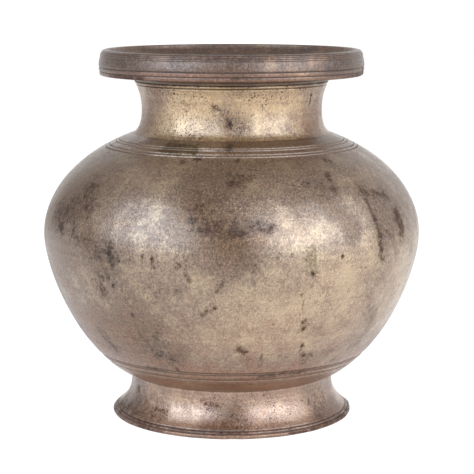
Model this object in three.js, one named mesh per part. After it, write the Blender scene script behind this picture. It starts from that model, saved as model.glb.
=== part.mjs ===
// A cast and turned bronze water pot (lota): bowl, shoulder, neck, flared rim and foot ring,
// each a casting of its own, held together by rings of brazing spelter.
// Millimetres, +Z up, the pot's axis on Z and the foot standing on z = 0.

import * as THREE from 'three';

// Foot ring
const footHeight = 18.9; // table to the ledge under the bowl
const footTopRadius = 46.2; // outside, where the foot meets the bowl
const footWaistIn = 0.3; // the waist lies this far inside the top
const footWaistHeight = 15.9;
const footFlare = 8.5; // the edge spreads this far past the top
const footWall = 2.8;
const footRestWidth = 2.7; // flat ring that the pot stands on
const footRestIn = 1.1; // the edge is rounded under by this much
const footBandHeight = 1.6; // plain band round the edge
const footBandIn = 0.3; // the band's top lies this far inside its middle
const footEdgeHeight = 3.7; // band and sloping edge with its two turned lines
const footEdgeIn = 2.8; // the sloping edge draws in by this much
const footCoveBend = 8.2; // height of the bend in the flare
const footLines = [0.7, 2.2]; // turned lines, down the edge from its top

// Bowl and shoulder
const bellyRadius = 84.8;
const bowlHeight = 64.1; // foot ledge to the widest line
const bowlRun = 24.3; // how far the bowl leaves the foot along its slope
const bowlSlope = 22.3; // degrees above level, at the foot
const bowlDrop = 17.7; // how upright the bowl stays under the belly
const bowlSag = 9.4; // how far the bottom hangs into the foot ring
const shoulderHeight = 44.9; // widest line to the neck
const shoulderRise = 18.3; // how upright the shoulder stays over the belly
const shoulderRun = 27.8; // how far it leaves the neck along its slope
const shoulderSlope = 19.8; // degrees below level, at the neck
const bodyWall = 2.4;
const lapHeight = 4; // the bowl's tongue inside the shoulder
const bowlLines = [14.8, 18.5, 19.9]; // along the surface from the foot
const shoulderLines = [6.9, 8.6, 11.8, 13.8]; // along the surface from the neck

// Neck
const neckHeight = 24.9; // shoulder to the underside of the rim
const neckWaistRadius = 40.6;
const neckWaistHeight = 11.1; // above the shoulder
const neckBaseFlare = 3.7;
const neckTopFlare = 3.3;
const neckBaseBend = 2.3; // height of the bend in the lower cove
const neckTopBend = 5.8; // how far below its end the upper flare bends
const neckWall = 2.6;
const neckSpigotWall = 2.4;
const neckSpigotDepth = 5.4; // the neck's foot inside the shoulder
const neckLines = [0.7, 2.1]; // down from the end of the flare

// Rim
const rimHeight = 12.2; // underside to lip
const rimOverhang = 15.6; // past the top of the neck
const rimSpigotWall = 3.2;
const rimSpigotDepth = 3.3; // the rim's collar inside the neck
const rimCorner = 1.3; // the underside stops this far short of the face
const rimFaceFoot = 0.8; // height of the face's lower edge over the underside
const rimFaceBulge = 0.4; // the face bows out at its middle and in at its lower edge
const rimFaceLean = 0.6; // the face's upper edge lies this far in
const rimLines = [2, 4]; // turned lines, up the face from its lower edge
const lipHeight = 3.2; // bevelled band under the lip
const lipSet = 2.6; // the lip's top lies this far inside the face
const lipFlat = 1.2;
const lipShoulderOut = 1.2; // the bevel's upper bend, out from the lip's top
const lipShoulderDrop = 0.8; // and below it
const throatRound = 0.5; // eased edge between the lip and the mouth
const funnelLean = 1.2; // how fast the mouth draws in under the lip
const funnelDepth = 5; // how steeply the mouth leaves the lip
const funnelBend = 7.5; // how far the bore runs up before it opens

// Brazing and turning
const beadLeg = 2;
const rimBeadLeg = 1.3;
const bellyBead = 1.2;
const lineWidth = 0.9;
const lineDepth = 0.4;

// Number of flats that each round stretch is drawn with
const segments = 48;
const bodySteps = 11;
const wallSteps = 9;
const bottomSteps = 5;
const smallSteps = 6;

// Finishes
const rimBronze = { color: '#75665c', roughness: 0.42 };
const neckBronze = { color: '#b59468', roughness: 0.3 };
const shoulderBronze = { color: '#a88a68', roughness: 0.36 };
const bowlBronze = { color: '#a98865', roughness: 0.38 };
const footBronze = { color: '#a98470', roughness: 0.3 };
const spelter = { color: '#b79a5c', roughness: 0.45 };
const metalness = 0.9;

// Heights of the joints, from the table
const bellyZ = footHeight + bowlHeight;
const neckZ = bellyZ + shoulderHeight;
const rimZ = neckZ + neckHeight;
const mouthZ = rimZ + rimHeight;
const lapZ = bellyZ + lapHeight;
const beadTopZ = lapZ + bellyBead;
const bottomZ = footHeight - bowlSag;

// Radii that neighbouring castings share
const boreRadius = neckWaistRadius - neckWall;
const neckBaseRadius = neckWaistRadius + neckBaseFlare;
const neckTopRadius = neckWaistRadius + neckTopFlare;
const neckSpigotRadius = boreRadius + neckSpigotWall;
const rimSpigotRadius = boreRadius + rimSpigotWall;
const rimRadius = neckTopRadius + rimOverhang;
const footBossRadius = footTopRadius - footWall;
const bodyInnerRadius = bellyRadius - bodyWall;
const lapRadius = bellyRadius - bodyWall / 2;

const point = (radius, height) => new THREE.Vector2(radius, height);

function along(start, distance, degrees) {
  const angle = THREE.MathUtils.degToRad(degrees);
  return point(start.x + distance * Math.cos(angle), start.y + distance * Math.sin(angle));
}

// The point of a curve at a share of its length, moved inwards by a depth
function inset(curve, share, depth) {
  const at = curve.getPointAt(share);
  const way = curve.getTangentAt(share);
  return point(at.x - way.y * depth, at.y + way.x * depth);
}

// Points up an outer curve, with a V-shaped turned line at each distance from its start
function turned(curve, steps, lines = []) {
  const length = curve.getLength();
  const stops = [];
  for (let i = 0; i <= steps; i++) {
    const distance = (i / steps) * length;
    const isEnd = i === 0 || i === steps;
    if (isEnd || lines.every((line) => Math.abs(line - distance) > lineWidth)) stops.push([distance, 0]);
  }
  for (const line of lines) {
    stops.push([line - lineWidth / 2, 0], [line, lineDepth], [line + lineWidth / 2, 0]);
  }
  stops.sort((a, b) => a[0] - b[0]);
  return stops.map(([distance, depth]) => inset(curve, THREE.MathUtils.clamp(distance / length, 0, 1), depth));
}

// Points down the inside of a wall that follows an outer curve
function inside(curve, steps) {
  const points = [];
  for (let i = steps; i >= 0; i--) points.push(inset(curve, i / steps, bodyWall));
  return points;
}

function turnedPiece(name, outline, finish) {
  const first = outline[0];
  const closed = first.x === 0 ? outline : [...outline, first.clone()];
  const geometry = new THREE.LatheGeometry(closed, segments);
  geometry.rotateX(Math.PI / 2);
  const mesh = new THREE.Mesh(geometry, new THREE.MeshStandardMaterial({ ...finish, metalness }));
  mesh.name = name;
  return mesh;
}

const footCrease = point(footTopRadius, footHeight);
const neckCrease = point(neckBaseRadius, neckZ);
const belly = point(bellyRadius, bellyZ);

const bowlCurve = new THREE.CubicBezierCurve(
  footCrease,
  along(footCrease, bowlRun, bowlSlope),
  point(bellyRadius, bellyZ - bowlDrop),
  belly,
);

const shoulderCurve = new THREE.CubicBezierCurve(
  belly,
  point(bellyRadius, bellyZ + shoulderRise),
  along(neckCrease, shoulderRun, -shoulderSlope),
  neckCrease,
);

// The bottom sags into the foot ring, level at the axis and in line with the bowl at the foot
const bottomBend = footTopRadius - bowlSag / Math.tan(THREE.MathUtils.degToRad(bowlSlope));
const bottomCurve = new THREE.QuadraticBezierCurve(point(0, bottomZ), point(bottomBend, bottomZ), footCrease);

// The share of the bottom curve's parameter that reaches a radius
function bottomShareAt(radius) {
  const spread = footTopRadius - 2 * bottomBend;
  return radius / (bottomBend + Math.sqrt(bottomBend * bottomBend + spread * radius));
}

// A narrow flat land inside the foot ring, where the foot's bead lies
const landShare = bottomShareAt(footBossRadius - beadLeg);
const landZ = bottomCurve.getPoint(landShare).y;

// A flat land under the shoulder's mouth, where the neck's bead lies
const mouthLand = inset(shoulderCurve, 1, bodyWall);

function mouthRim() {
  const face = new THREE.QuadraticBezierCurve(
    point(rimRadius - rimFaceBulge, rimZ + rimFaceFoot),
    point(rimRadius + rimFaceBulge, rimZ + rimHeight / 2),
    point(rimRadius - rimFaceLean, mouthZ - lipHeight),
  );
  const lipEdge = face.getPoint(1);
  const lipOuter = rimRadius - lipSet;
  const lipInner = lipOuter - lipFlat;
  const throat = point(lipInner - throatRound, mouthZ - throatRound);
  const collarEnd = point(boreRadius, rimZ - rimSpigotDepth);
  const funnel = new THREE.CubicBezierCurve(
    throat,
    point(throat.x - funnelLean, throat.y - funnelDepth),
    point(boreRadius, collarEnd.y + funnelBend),
    collarEnd,
  );
  return turnedPiece('mouth_rim', [
    point(rimSpigotRadius, collarEnd.y),
    point(rimSpigotRadius, rimZ),
    point(rimRadius - rimCorner, rimZ),
    ...turned(face, smallSteps, rimLines),
    point(lipEdge.x - lineDepth, lipEdge.y + lineWidth / 3),
    point(lipEdge.x - lineDepth / 2, lipEdge.y + (2 * lineWidth) / 3),
    point(lipOuter + lipShoulderOut, mouthZ - lipShoulderDrop),
    point(lipOuter, mouthZ),
    point(lipInner, mouthZ),
    ...funnel.getSpacedPoints(wallSteps),
  ], rimBronze);
}

function neck() {
  const waist = point(neckWaistRadius, neckZ + neckWaistHeight);
  const flareEnd = point(neckTopRadius, rimZ - rimBeadLeg);
  const cove = new THREE.QuadraticBezierCurve(
    neckCrease,
    point(neckWaistRadius, neckZ + neckBaseBend),
    waist,
  );
  const flare = new THREE.QuadraticBezierCurve(
    waist,
    point(neckWaistRadius, flareEnd.y - neckTopBend),
    flareEnd,
  );
  const flareLines = neckLines.map((line) => flare.getLength() - line);
  return turnedPiece('neck', [
    point(boreRadius, neckZ - neckSpigotDepth),
    point(neckSpigotRadius, neckZ - neckSpigotDepth),
    point(neckSpigotRadius, neckZ),
    ...turned(cove, smallSteps).slice(0, -1),
    ...turned(flare, smallSteps, flareLines),
    point(neckTopRadius, rimZ),
    point(rimSpigotRadius, rimZ),
    point(rimSpigotRadius, rimZ - rimSpigotDepth),
    point(boreRadius, rimZ - rimSpigotDepth),
  ], neckBronze);
}

function upperBody() {
  const lines = shoulderLines.map((line) => shoulderCurve.getLength() - line);
  const wallInside = inside(shoulderCurve, wallSteps).filter((p) => p.y > beadTopZ + bellyBead);
  return turnedPiece('upper_body', [
    ...turned(shoulderCurve, bodySteps, lines),
    point(neckSpigotRadius, neckZ),
    point(neckSpigotRadius, mouthLand.y),
    ...wallInside,
    point(bodyInnerRadius, beadTopZ),
    point(bodyInnerRadius, lapZ),
    point(lapRadius, lapZ),
    point(lapRadius, bellyZ),
  ], shoulderBronze);
}

function lowerBody() {
  const bottom = [];
  for (let i = 0; i <= bottomSteps; i++) bottom.push(bottomCurve.getPoint((i / bottomSteps) * landShare));
  return turnedPiece('lower_body', [
    ...bottom,
    point(footBossRadius, landZ),
    point(footBossRadius, footHeight),
    ...turned(bowlCurve, bodySteps, bowlLines),
    point(lapRadius, bellyZ),
    point(lapRadius, lapZ),
    point(bodyInnerRadius, lapZ),
    ...inside(bowlCurve, wallSteps),
    ...inside(bottomCurve, bottomSteps).slice(1),
  ], bowlBronze);
}

function footRing() {
  const edgeRadius = footTopRadius + footFlare;
  const waist = point(footTopRadius - footWaistIn, footWaistHeight);
  const restOuter = edgeRadius - footRestIn;
  const restInner = restOuter - footRestWidth;
  const edgeTop = point(edgeRadius - footEdgeIn, footEdgeHeight);
  const edge = new THREE.LineCurve(point(edgeRadius - footBandIn, footBandHeight), edgeTop);
  const cove = new THREE.QuadraticBezierCurve(edgeTop, point(waist.x, footCoveBend), waist);
  const edgeLines = footLines.map((line) => edge.getLength() - line);
  const hollow = new THREE.QuadraticBezierCurve(
    point(footBossRadius, footWaistHeight - footWall),
    point(footBossRadius, footCoveBend),
    point(restInner, 0),
  );
  return turnedPiece('foot_ring', [
    point(restOuter, 0),
    point(edgeRadius, footBandHeight / 2),
    ...turned(edge, 1, edgeLines),
    ...turned(cove, smallSteps).slice(1),
    footCrease,
    point(footBossRadius, footHeight),
    ...hollow.getSpacedPoints(smallSteps),
  ], footBronze);
}

// A ring of spelter in the corner of two castings, with a hollow face
function bead(name, corner, toe, heel) {
  const face = point((toe.x + heel.x + corner.x) / 3, (toe.y + heel.y + corner.y) / 3);
  const middle = point((toe.x + heel.x) / 2, (toe.y + heel.y) / 2);
  return turnedPiece(name, [toe, face.lerp(middle, 0.5), heel, corner], spelter);
}

function rimBraze() {
  const corner = point(neckTopRadius, rimZ);
  return bead('rim_braze', corner, point(corner.x, rimZ - rimBeadLeg), point(corner.x + rimBeadLeg, rimZ));
}

function neckBraze() {
  const corner = point(neckSpigotRadius, mouthLand.y);
  return bead('neck_braze', corner, point(corner.x, corner.y - beadLeg), point(corner.x + beadLeg, corner.y));
}

function bellyBraze() {
  return turnedPiece('belly_braze', [
    point(bodyInnerRadius - bellyBead, lapZ),
    point(bodyInnerRadius, lapZ - bellyBead),
    point(bodyInnerRadius, beadTopZ),
  ], spelter);
}

function footBraze() {
  const corner = point(footBossRadius, landZ);
  return bead('foot_braze', corner, point(corner.x - beadLeg, landZ), point(corner.x, landZ - beadLeg));
}

const waterPot = new THREE.Group();
waterPot.add(
  footRing(),
  footBraze(),
  lowerBody(),
  bellyBraze(),
  upperBody(),
  neckBraze(),
  neck(),
  rimBraze(),
  mouthRim(),
);

export default waterPot;
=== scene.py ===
# A cast bronze water pot (lota), turned on a lathe and darkened by age: five castings brazed into one.
# The sections follow it from the foot ring up to the mouth, and then come the studio and the camera.

import math
import bpy
import numpy as np
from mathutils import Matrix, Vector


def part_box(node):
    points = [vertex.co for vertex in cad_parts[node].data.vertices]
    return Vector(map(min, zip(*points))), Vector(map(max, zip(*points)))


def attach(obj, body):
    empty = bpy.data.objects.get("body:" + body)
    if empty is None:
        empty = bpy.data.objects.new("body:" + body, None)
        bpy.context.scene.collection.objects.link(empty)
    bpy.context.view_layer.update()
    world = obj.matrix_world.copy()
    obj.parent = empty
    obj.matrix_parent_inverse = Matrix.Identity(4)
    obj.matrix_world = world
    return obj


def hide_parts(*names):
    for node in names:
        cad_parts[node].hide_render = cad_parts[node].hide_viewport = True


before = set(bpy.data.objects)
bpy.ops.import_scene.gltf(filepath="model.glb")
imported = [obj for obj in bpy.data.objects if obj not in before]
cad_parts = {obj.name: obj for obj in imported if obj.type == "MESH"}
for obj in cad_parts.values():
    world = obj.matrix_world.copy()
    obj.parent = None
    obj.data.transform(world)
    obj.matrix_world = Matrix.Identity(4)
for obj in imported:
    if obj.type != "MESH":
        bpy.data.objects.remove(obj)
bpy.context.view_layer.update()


# Foot ring
# A flared ring of cast bronze, turned outside, with two lines on the band round its edge. It is brazed
# under the bowl, which sags into it. The metal is coppery, pitted and satin.

MM = 0.001
foot_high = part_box("foot_ring")[1] / MM
foot_edge_radius = foot_high.x
foot_height = foot_high.z
foot_spread = 8.5
foot_wall = 2.8
foot_waist_inset = 0.3
foot_edge_round = 1.1
foot_rest_width = 2.7
foot_top_radius = foot_edge_radius - foot_spread
foot_waist_radius = foot_top_radius - foot_waist_inset
foot_boss_radius = foot_top_radius - foot_wall
foot_rest_outer = foot_edge_radius - foot_edge_round
foot_rest_inner = foot_rest_outer - foot_rest_width
foot_waist_height = 15.9
foot_bend_height = 8.2
foot_boss_height = foot_waist_height - foot_wall
foot_band_low = (foot_edge_radius - 0.3, 1.6)
foot_band_high = (foot_edge_radius - 2.8, 3.7)
foot_band_length = 3.26
foot_line_distances = (2.2, 0.7)


def bend(*corners):
    """Points along a curve that starts and ends at corners, and that those between pull into shape."""
    point_count = 120
    share = np.linspace(0, 1, point_count)[:, None]
    rows = [np.array(corner, float) + 0 * share for corner in corners]
    while len(rows) > 1:
        rows = [a + (b - a) * share for a, b in zip(rows, rows[1:])]
    return rows[0]


def stretch(points, lines=(), pitch=1.2, dark=(0, 0), width=0.28, depth=0.34):
    """A stretch of an outline, as rows of radius, height, share of a turned line and darkness.

    lines holds how far along the stretch each turned line lies, width and depth are the size of its cut,
    pitch is the step between the rows, and dark says how dark the two ends are: covered metal, grime in the
    foot's band, and painted shade in the funnel and on the spelter beads. All lengths are in mm.
    """
    points = np.array(points, float)
    run = np.concatenate([[0], np.cumsum(np.hypot(*np.diff(points, axis=0).T))])
    across_line = np.linspace(-1, 1, 11)
    least_step = 0.05
    stops = [np.linspace(0, run[-1], max(2, round(run[-1] / pitch) + 1))]
    stops += [line + across_line for line in lines]
    stops = np.unique(np.clip(np.concatenate(stops), 0, run[-1]).round(3))
    stops = stops[np.concatenate([[True], np.diff(stops) > least_step])]
    stops[-1] = run[-1]
    at = np.stack([np.interp(stops, run, points[:, i]) for i in (0, 1)], axis=1)
    way = np.gradient(at, stops, axis=0)
    way /= np.hypot(*way.T)[:, None]
    groove = sum((np.exp(-(((stops - line) / width) ** 2)) for line in lines), np.zeros(len(stops)))
    at += np.stack([-way[:, 1], way[:, 0]], axis=1) * (groove * depth)[:, None]
    return np.column_stack([at, groove, np.linspace(*dark, len(stops))])


def covered(*corners):
    """Straight stretches from corner to corner that lie in a joint or inside the pot."""
    return [stretch(pair, dark=(1, 1)) for pair in zip(corners, corners[1:])]


def out_of_round(angle, height):
    """How far the hand-turned wall strays from a true circle, in mm."""
    chance = np.random.default_rng(11)
    ripples = 26
    ripple_depth = 0.016
    oval = 0.18 * np.cos(2 * (angle - 0.4))
    three_cornered = 0.08 * np.cos(3 * angle + 1.0)
    stray = oval + three_cornered
    for _ in range(ripples):
        round_count = chance.integers(3, 26)
        rise = chance.normal(0, 0.12)
        stray = stray + ripple_depth * np.sin(round_count * angle + rise * height + chance.uniform(0, 6.3))
    return stray


def near(angle, height, radius, marks):
    """How near each point is to a list of marks, from 0 to each mark's strength.

    A mark runs from one azimuth and height to another, with a half width in mm and a strength.
    Azimuths are in degrees from the front, positive to the right.
    """
    field = np.zeros(np.broadcast(angle, height).shape)
    for azimuth_a, height_a, azimuth_b, height_b, half_width, strength in marks:
        middle = math.radians((azimuth_a + azimuth_b) / 2)
        across = np.angle(np.exp(1j * (angle - middle))) * radius
        up = height - (height_a + height_b) / 2
        half_run = math.radians(azimuth_b - azimuth_a) / 2 * radius
        half_rise = (height_b - height_a) / 2
        squared_length = half_run**2 + half_rise**2 + 1e-9
        share = np.clip((across * half_run + up * half_rise) / squared_length, -1, 1)
        gap = np.hypot(across - share * half_run, up - share * half_rise)
        field = np.maximum(field, strength * np.exp(-((gap / half_width) ** 2)))
    return field


# Steps round the pot, 1.4 mm wide at the belly
turns = 384


def turn(node, outline, bronze, marks=(), dents=()):
    """Turns an outline into a piece round the pot's axis, in place of a CAD node.

    The outline is a list of stretches up the outside of the piece and back down its inside. It starts and
    ends on the axis, or closes on itself. A mark here has its kind in front, and a dent's strength is its
    depth in mm. Neither shows where the outline is half dark or more.
    """
    rows = [outline[0]]
    for part in outline[1:]:
        rows[-1][-1, 3] = part[0, 3] = min(rows[-1][-1, 3], part[0, 3])
        rows.append(part[1:])
    rows = np.concatenate(rows)
    closed = rows[0, 0] > 0.01
    if closed:
        rows[0, 3] = min(rows[0, 3], rows[-1, 3])
        rows = rows[:-1]
    radius, height, groove, dark = rows.T[:, :, None]
    angle = np.linspace(0, 2 * math.pi, turns, endpoint=False)[None, :]
    shown = dark < 0.5

    # Wear on the outer corners of metal that is less than 0.3 dark, fading within 0.7 mm of them
    edge_reach = 0.7
    before = np.roll(rows, 1, axis=0)
    after = np.roll(rows, -1, axis=0)
    into = rows[:, :2] - before[:, :2]
    out = after[:, :2] - rows[:, :2]
    turning = np.arctan2(into[:, 0] * out[:, 1] - into[:, 1] * out[:, 0], (into * out).sum(1))
    bare = rows[:, 3] < 0.3
    bare = bare & np.roll(bare, 1) & np.roll(bare, -1)
    run = np.cumsum(np.hypot(*into.T))
    weight = np.exp(-(((run[:, None] - run[None, :]) / edge_reach) ** 2))
    wear = np.clip(weight @ (turning * bare), 0, 1)[:, None] * shown

    # Points of the wall: the outline carried round, with the lathe's stray and the dents
    full_stray_radius = 30
    stray = out_of_round(angle, height) * np.clip(radius / full_stray_radius, 0, 1)
    dented = near(angle, height, radius, dents) * shown
    place = radius + stray - dented
    co = np.stack([place * np.sin(angle), -place * np.cos(angle), height + 0 * angle], axis=-1)
    co = co.reshape(-1, 3)
    values = {"groove": groove + 0 * angle, "dark": dark + 0 * angle, "wear": wear + 0 * angle}
    for kind in ("film", "clean", "rosy", "purple", "green", "spot", "bright", "pitted"):
        chosen = [mark[1:] for mark in marks if mark[0] == kind]
        values[kind] = near(angle, height, radius, chosen) * shown

    # Four-sided faces from row to row, and a fan round each end that lies on the axis
    index = np.arange(len(rows) * turns).reshape(len(rows), turns)
    first, last = (0, len(rows)) if closed else (1, len(rows) - 2)
    lower = index[first:last]
    upper = np.roll(index, -1, axis=0)[first:last]
    quads = np.stack([lower, np.roll(lower, -1, 1), np.roll(upper, -1, 1), upper], axis=-1).reshape(-1, 4)
    fans = np.zeros((0, 3), int)
    if not closed:
        start_ring, end_ring = index[1], index[-2]
        start_fan = np.stack([np.roll(start_ring, -1), start_ring, np.full(turns, index[0, 0])], axis=-1)
        end_fan = np.stack([end_ring, np.roll(end_ring, -1), np.full(turns, index[-1, 0])], axis=-1)
        fans = np.concatenate([start_fan, end_fan])
    corners = np.concatenate([quads.ravel(), fans.ravel()])
    used, corners = np.unique(corners, return_inverse=True)
    starts = np.concatenate([np.arange(len(quads)) * 4, len(quads) * 4 + np.arange(len(fans)) * 3])

    mesh = bpy.data.meshes.new(node + "_turned")
    mesh.vertices.add(len(used))
    mesh.vertices.foreach_set("co", (co[used] * MM).astype(np.float32).ravel())
    mesh.loops.add(len(corners))
    mesh.loops.foreach_set("vertex_index", corners.astype(np.int32))
    mesh.polygons.add(len(starts))
    mesh.polygons.foreach_set("loop_start", starts.astype(np.int32))
    mesh.update(calc_edges=True)
    for name, value in values.items():
        layer = mesh.attributes.new(name, "FLOAT", "POINT")
        layer.data.foreach_set("value", value.reshape(-1)[used].astype(np.float32))
    mesh.shade_smooth()
    crisp_corner = math.radians(38)
    mesh.set_sharp_from_angle(angle=crisp_corner)
    mesh.materials.append(bronze)
    piece = bpy.data.objects.new(node + "_turned", mesh)
    bpy.context.scene.collection.objects.link(piece)
    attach(piece, "root")
    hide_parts(node)


def linear(hex_colour):
    """An sRGB hex colour as the linear red, green, blue and alpha that a shader takes."""
    parts = [int(hex_colour[i : i + 2], 16) / 255 for i in (1, 3, 5)]
    return [part / 12.92 if part <= 0.04045 else ((part + 0.055) / 1.055) ** 2.4 for part in parts] + [1]


def add(tree, kind, inputs=None, **settings):
    """Adds a shader node with its settings, and sets or links its inputs."""
    node = tree.nodes.new("ShaderNode" + kind)
    for name, value in settings.items():
        setattr(node, name, value)
    for name, value in (inputs or {}).items():
        if isinstance(value, bpy.types.NodeSocket):
            tree.links.new(value, node.inputs[name])
        else:
            node.inputs[name].default_value = value
    return node


def aged_bronze(name, bright, dull, patina, polish, cover, pitting, gloss):
    """Cast bronze, turned and then aged by handling.

    bright and dull are the two tones of the bare metal, patina the brown film on it, and polish the bare
    metal's roughness. cover holds two heights in mm and how much of the metal the film takes at each.
    pitting is the depth of the pits in mm, and gloss the share of the metal under a clear skin.

    Inputs go by number where the nodes name them twice: MapRange takes input 0 from the range of 1 and 2
    to that of 3 and 4, and Mix goes by input 0 from value 2 to 3, or from colour 6 to 7.
    """
    material = bpy.data.materials.new(name)
    material.use_nodes = True
    tree = material.node_tree
    tree.nodes.clear()
    coords = add(tree, "TexCoord").outputs["Object"]
    height = add(tree, "SeparateXYZ", {0: coords}).outputs["Z"]
    level = add(tree, "VectorMath", {0: coords, 1: (1, 1, 0)}, operation="MULTIPLY").outputs[0]
    reach = add(tree, "VectorMath", {0: level}, operation="LENGTH").outputs["Value"]
    round_the_lathe = add(tree, "CombineXYZ", {0: reach, 2: height}).outputs[0]
    falling = add(tree, "VectorMath", {0: coords, 1: (1, 1, 0.5)}, operation="MULTIPLY").outputs[0]

    # Tone of the bare metal: clouds 18 mm across, and a grain 0.9 mm across and twice as long down the
    # wall. The real grain is finer, and is drawn as coarse as shows at the photo's distance
    cloud = {"Vector": coords, "Scale": 1 / (18 * MM), "Detail": 4, "Roughness": 0.6}
    cloud = add(tree, "TexNoise", cloud).outputs[0]
    grain = {"Vector": falling, "Scale": 1 / (0.9 * MM), "Detail": 2, "Roughness": 0.8, "Distortion": 1.2}
    grain = add(tree, "TexNoise", grain).outputs[0]
    tone = add(tree, "Mix", {0: 0.6, 2: cloud, 3: grain}).outputs[0]
    tone = add(tree, "MapRange", {0: tone, 1: 0.32, 2: 0.68}).outputs[0]
    colour = add(tree, "Mix", {0: tone, 6: linear(bright), 7: linear(dull)}, data_type="RGBA").outputs[2]

    # Hue: rosier and yellower patches, from 9 mm down to 0.6 mm
    hue = {"Vector": coords, "Scale": 1 / (9 * MM), "Detail": 4, "Roughness": 0.7}
    hue = add(tree, "TexNoise", hue).outputs[0]
    pink = add(tree, "MapRange", {0: hue, 1: 0.52, 2: 0.66, 4: 0.22}).outputs[0]
    colour = add(tree, "Mix", {0: pink, 6: colour, 7: linear("#a87c66")}, data_type="RGBA").outputs[2]
    gold = add(tree, "MapRange", {0: hue, 1: 0.46, 2: 0.34, 4: 0.14}).outputs[0]
    colour = add(tree, "Mix", {0: gold, 6: colour, 7: linear("#ad9a68")}, data_type="RGBA").outputs[2]

    # Brown film: clouds with ragged edges from 9 mm down to 0.1 mm, redder where it lies thick. Among the
    # film marks that thicken it, one also paints shade on the front of the belly
    film = {"Vector": coords, "Scale": 1 / (9 * MM), "Detail": 6, "Roughness": 0.7}
    film = add(tree, "TexNoise", film).outputs[0]
    low, low_cover, high, high_cover = cover
    share = {0: height, 1: low * MM, 2: high * MM, 3: low_cover, 4: high_cover}
    share = add(tree, "MapRange", share).outputs[0]
    film = add(tree, "Math", {0: film, 1: 1.15, 2: share}, operation="MULTIPLY_ADD").outputs[0]
    film_and_shade_marks = add(tree, "Attribute", attribute_name="film").outputs["Fac"]
    film = add(tree, "Math", {0: film, 1: film_and_shade_marks}, operation="ADD").outputs[0]
    thin = add(tree, "Attribute", attribute_name="clean").outputs["Fac"]
    film = add(tree, "Math", {0: film, 1: thin}, operation="SUBTRACT").outputs[0]
    film = add(tree, "Math", {0: grain, 1: 0.5, 2: film}, operation="MULTIPLY_ADD").outputs[0]
    film = add(tree, "MapRange", {0: film, 1: 0.975, 2: 1.6}).outputs[0]
    film_share = add(tree, "Math", {0: film, 1: 0.85}, operation="MULTIPLY").outputs[0]
    red = add(tree, "MapRange", {0: film_and_shade_marks, 1: 0.0, 2: 0.4}).outputs[0]
    brown = add(tree, "Mix", {0: red, 6: linear(patina), 7: linear("#4e3422")}, data_type="RGBA").outputs[2]
    colour = add(tree, "Mix", {0: film_share, 6: colour, 7: brown}, data_type="RGBA").outputs[2]

    # Marks on this pot: stains that let the grain through, with edges broken up from 3 mm down to 0.1 mm.
    # Some
    # also paint shade: the dark reflection between the lamps on the front of the belly, and the shadow under
    # the rim
    ragged = {"Vector": coords, "Scale": 1 / (3 * MM), "Detail": 5, "Roughness": 0.85}
    ragged = add(tree, "TexNoise", ragged).outputs[0]
    ragged = add(tree, "MapRange", {0: ragged, 1: 0.25, 2: 0.75, 3: -0.9, 4: 0.55}).outputs[0]
    rosy = add(tree, "Attribute", attribute_name="rosy").outputs["Fac"]
    patchy = add(tree, "MapRange", {0: hue, 1: 0.35, 2: 0.65, 3: 0.5, 4: 1.3}).outputs[0]
    rosy = add(tree, "Math", {0: rosy, 1: patchy}, operation="MULTIPLY").outputs[0]
    colour = add(tree, "Mix", {0: rosy, 6: colour, 7: linear("#7d5236")}, data_type="RGBA").outputs[2]
    stain_and_shade = 0.0
    stain_and_shade_kinds = (("purple", "#9c867a", 0.9), ("green", "#93917a", 0.85), ("spot", "#8b786d", 1.0))
    for kind, stain_and_shade_tint, most in stain_and_shade_kinds:
        field = add(tree, "Attribute", attribute_name=kind).outputs["Fac"]
        broken = add(tree, "Math", {0: ragged, 1: field}, operation="ADD").outputs[0]
        taken = add(tree, "MapRange", {0: broken, 1: 0.1, 2: 0.75, 4: most}).outputs[0]
        tint = {0: taken, 6: colour, 7: linear(stain_and_shade_tint)}
        colour = add(tree, "Mix", tint, data_type="RGBA", blend_type="MULTIPLY").outputs[2]
        stain_and_shade = add(tree, "Math", {0: taken, 1: stain_and_shade}, operation="MAXIMUM").outputs[0]
    # Pale rubbed metal; on the rim some of these marks paint the lamps' highlights and reflections instead
    rubbed_and_highlight = add(tree, "Attribute", attribute_name="bright").outputs["Fac"]
    rubbed_and_highlight = add(tree, "Math", {0: ragged, 1: rubbed_and_highlight}, operation="ADD").outputs[0]
    rubbed_and_highlight = add(tree, "MapRange", {0: rubbed_and_highlight, 1: 0.1, 2: 0.8, 4: 0.8}).outputs[0]
    tint = {0: rubbed_and_highlight, 6: colour, 7: linear("#b4aca0")}
    colour = add(tree, "Mix", tint, data_type="RGBA", blend_type="DODGE").outputs[2]

    # Pale hair lines that wander down the wall, where the skin has etched or worn
    wander = {"Vector": falling, "Scale": 1 / (2.2 * MM), "Detail": 3, "Distortion": 1.6}
    wander = add(tree, "TexNoise", wander).outputs[0]
    offset = add(tree, "Math", {0: wander, 1: 0.5}, operation="SUBTRACT").outputs[0]
    offset = add(tree, "Math", {0: offset}, operation="ABSOLUTE").outputs[0]
    line = add(tree, "MapRange", {0: offset, 1: 0.0, 2: 0.04, 3: 1.0, 4: 0.0}).outputs[0]
    in_patches = add(tree, "MapRange", {0: hue, 1: 0.4, 2: 0.6, 3: 0.2, 4: 1.0}).outputs[0]
    line = add(tree, "Math", {0: line, 1: in_patches}, operation="MULTIPLY").outputs[0]
    tint = {0: line, 6: colour, 7: linear("#b4aca0")}
    colour = add(tree, "Mix", tint, data_type="RGBA", blend_type="DODGE").outputs[2]

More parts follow.
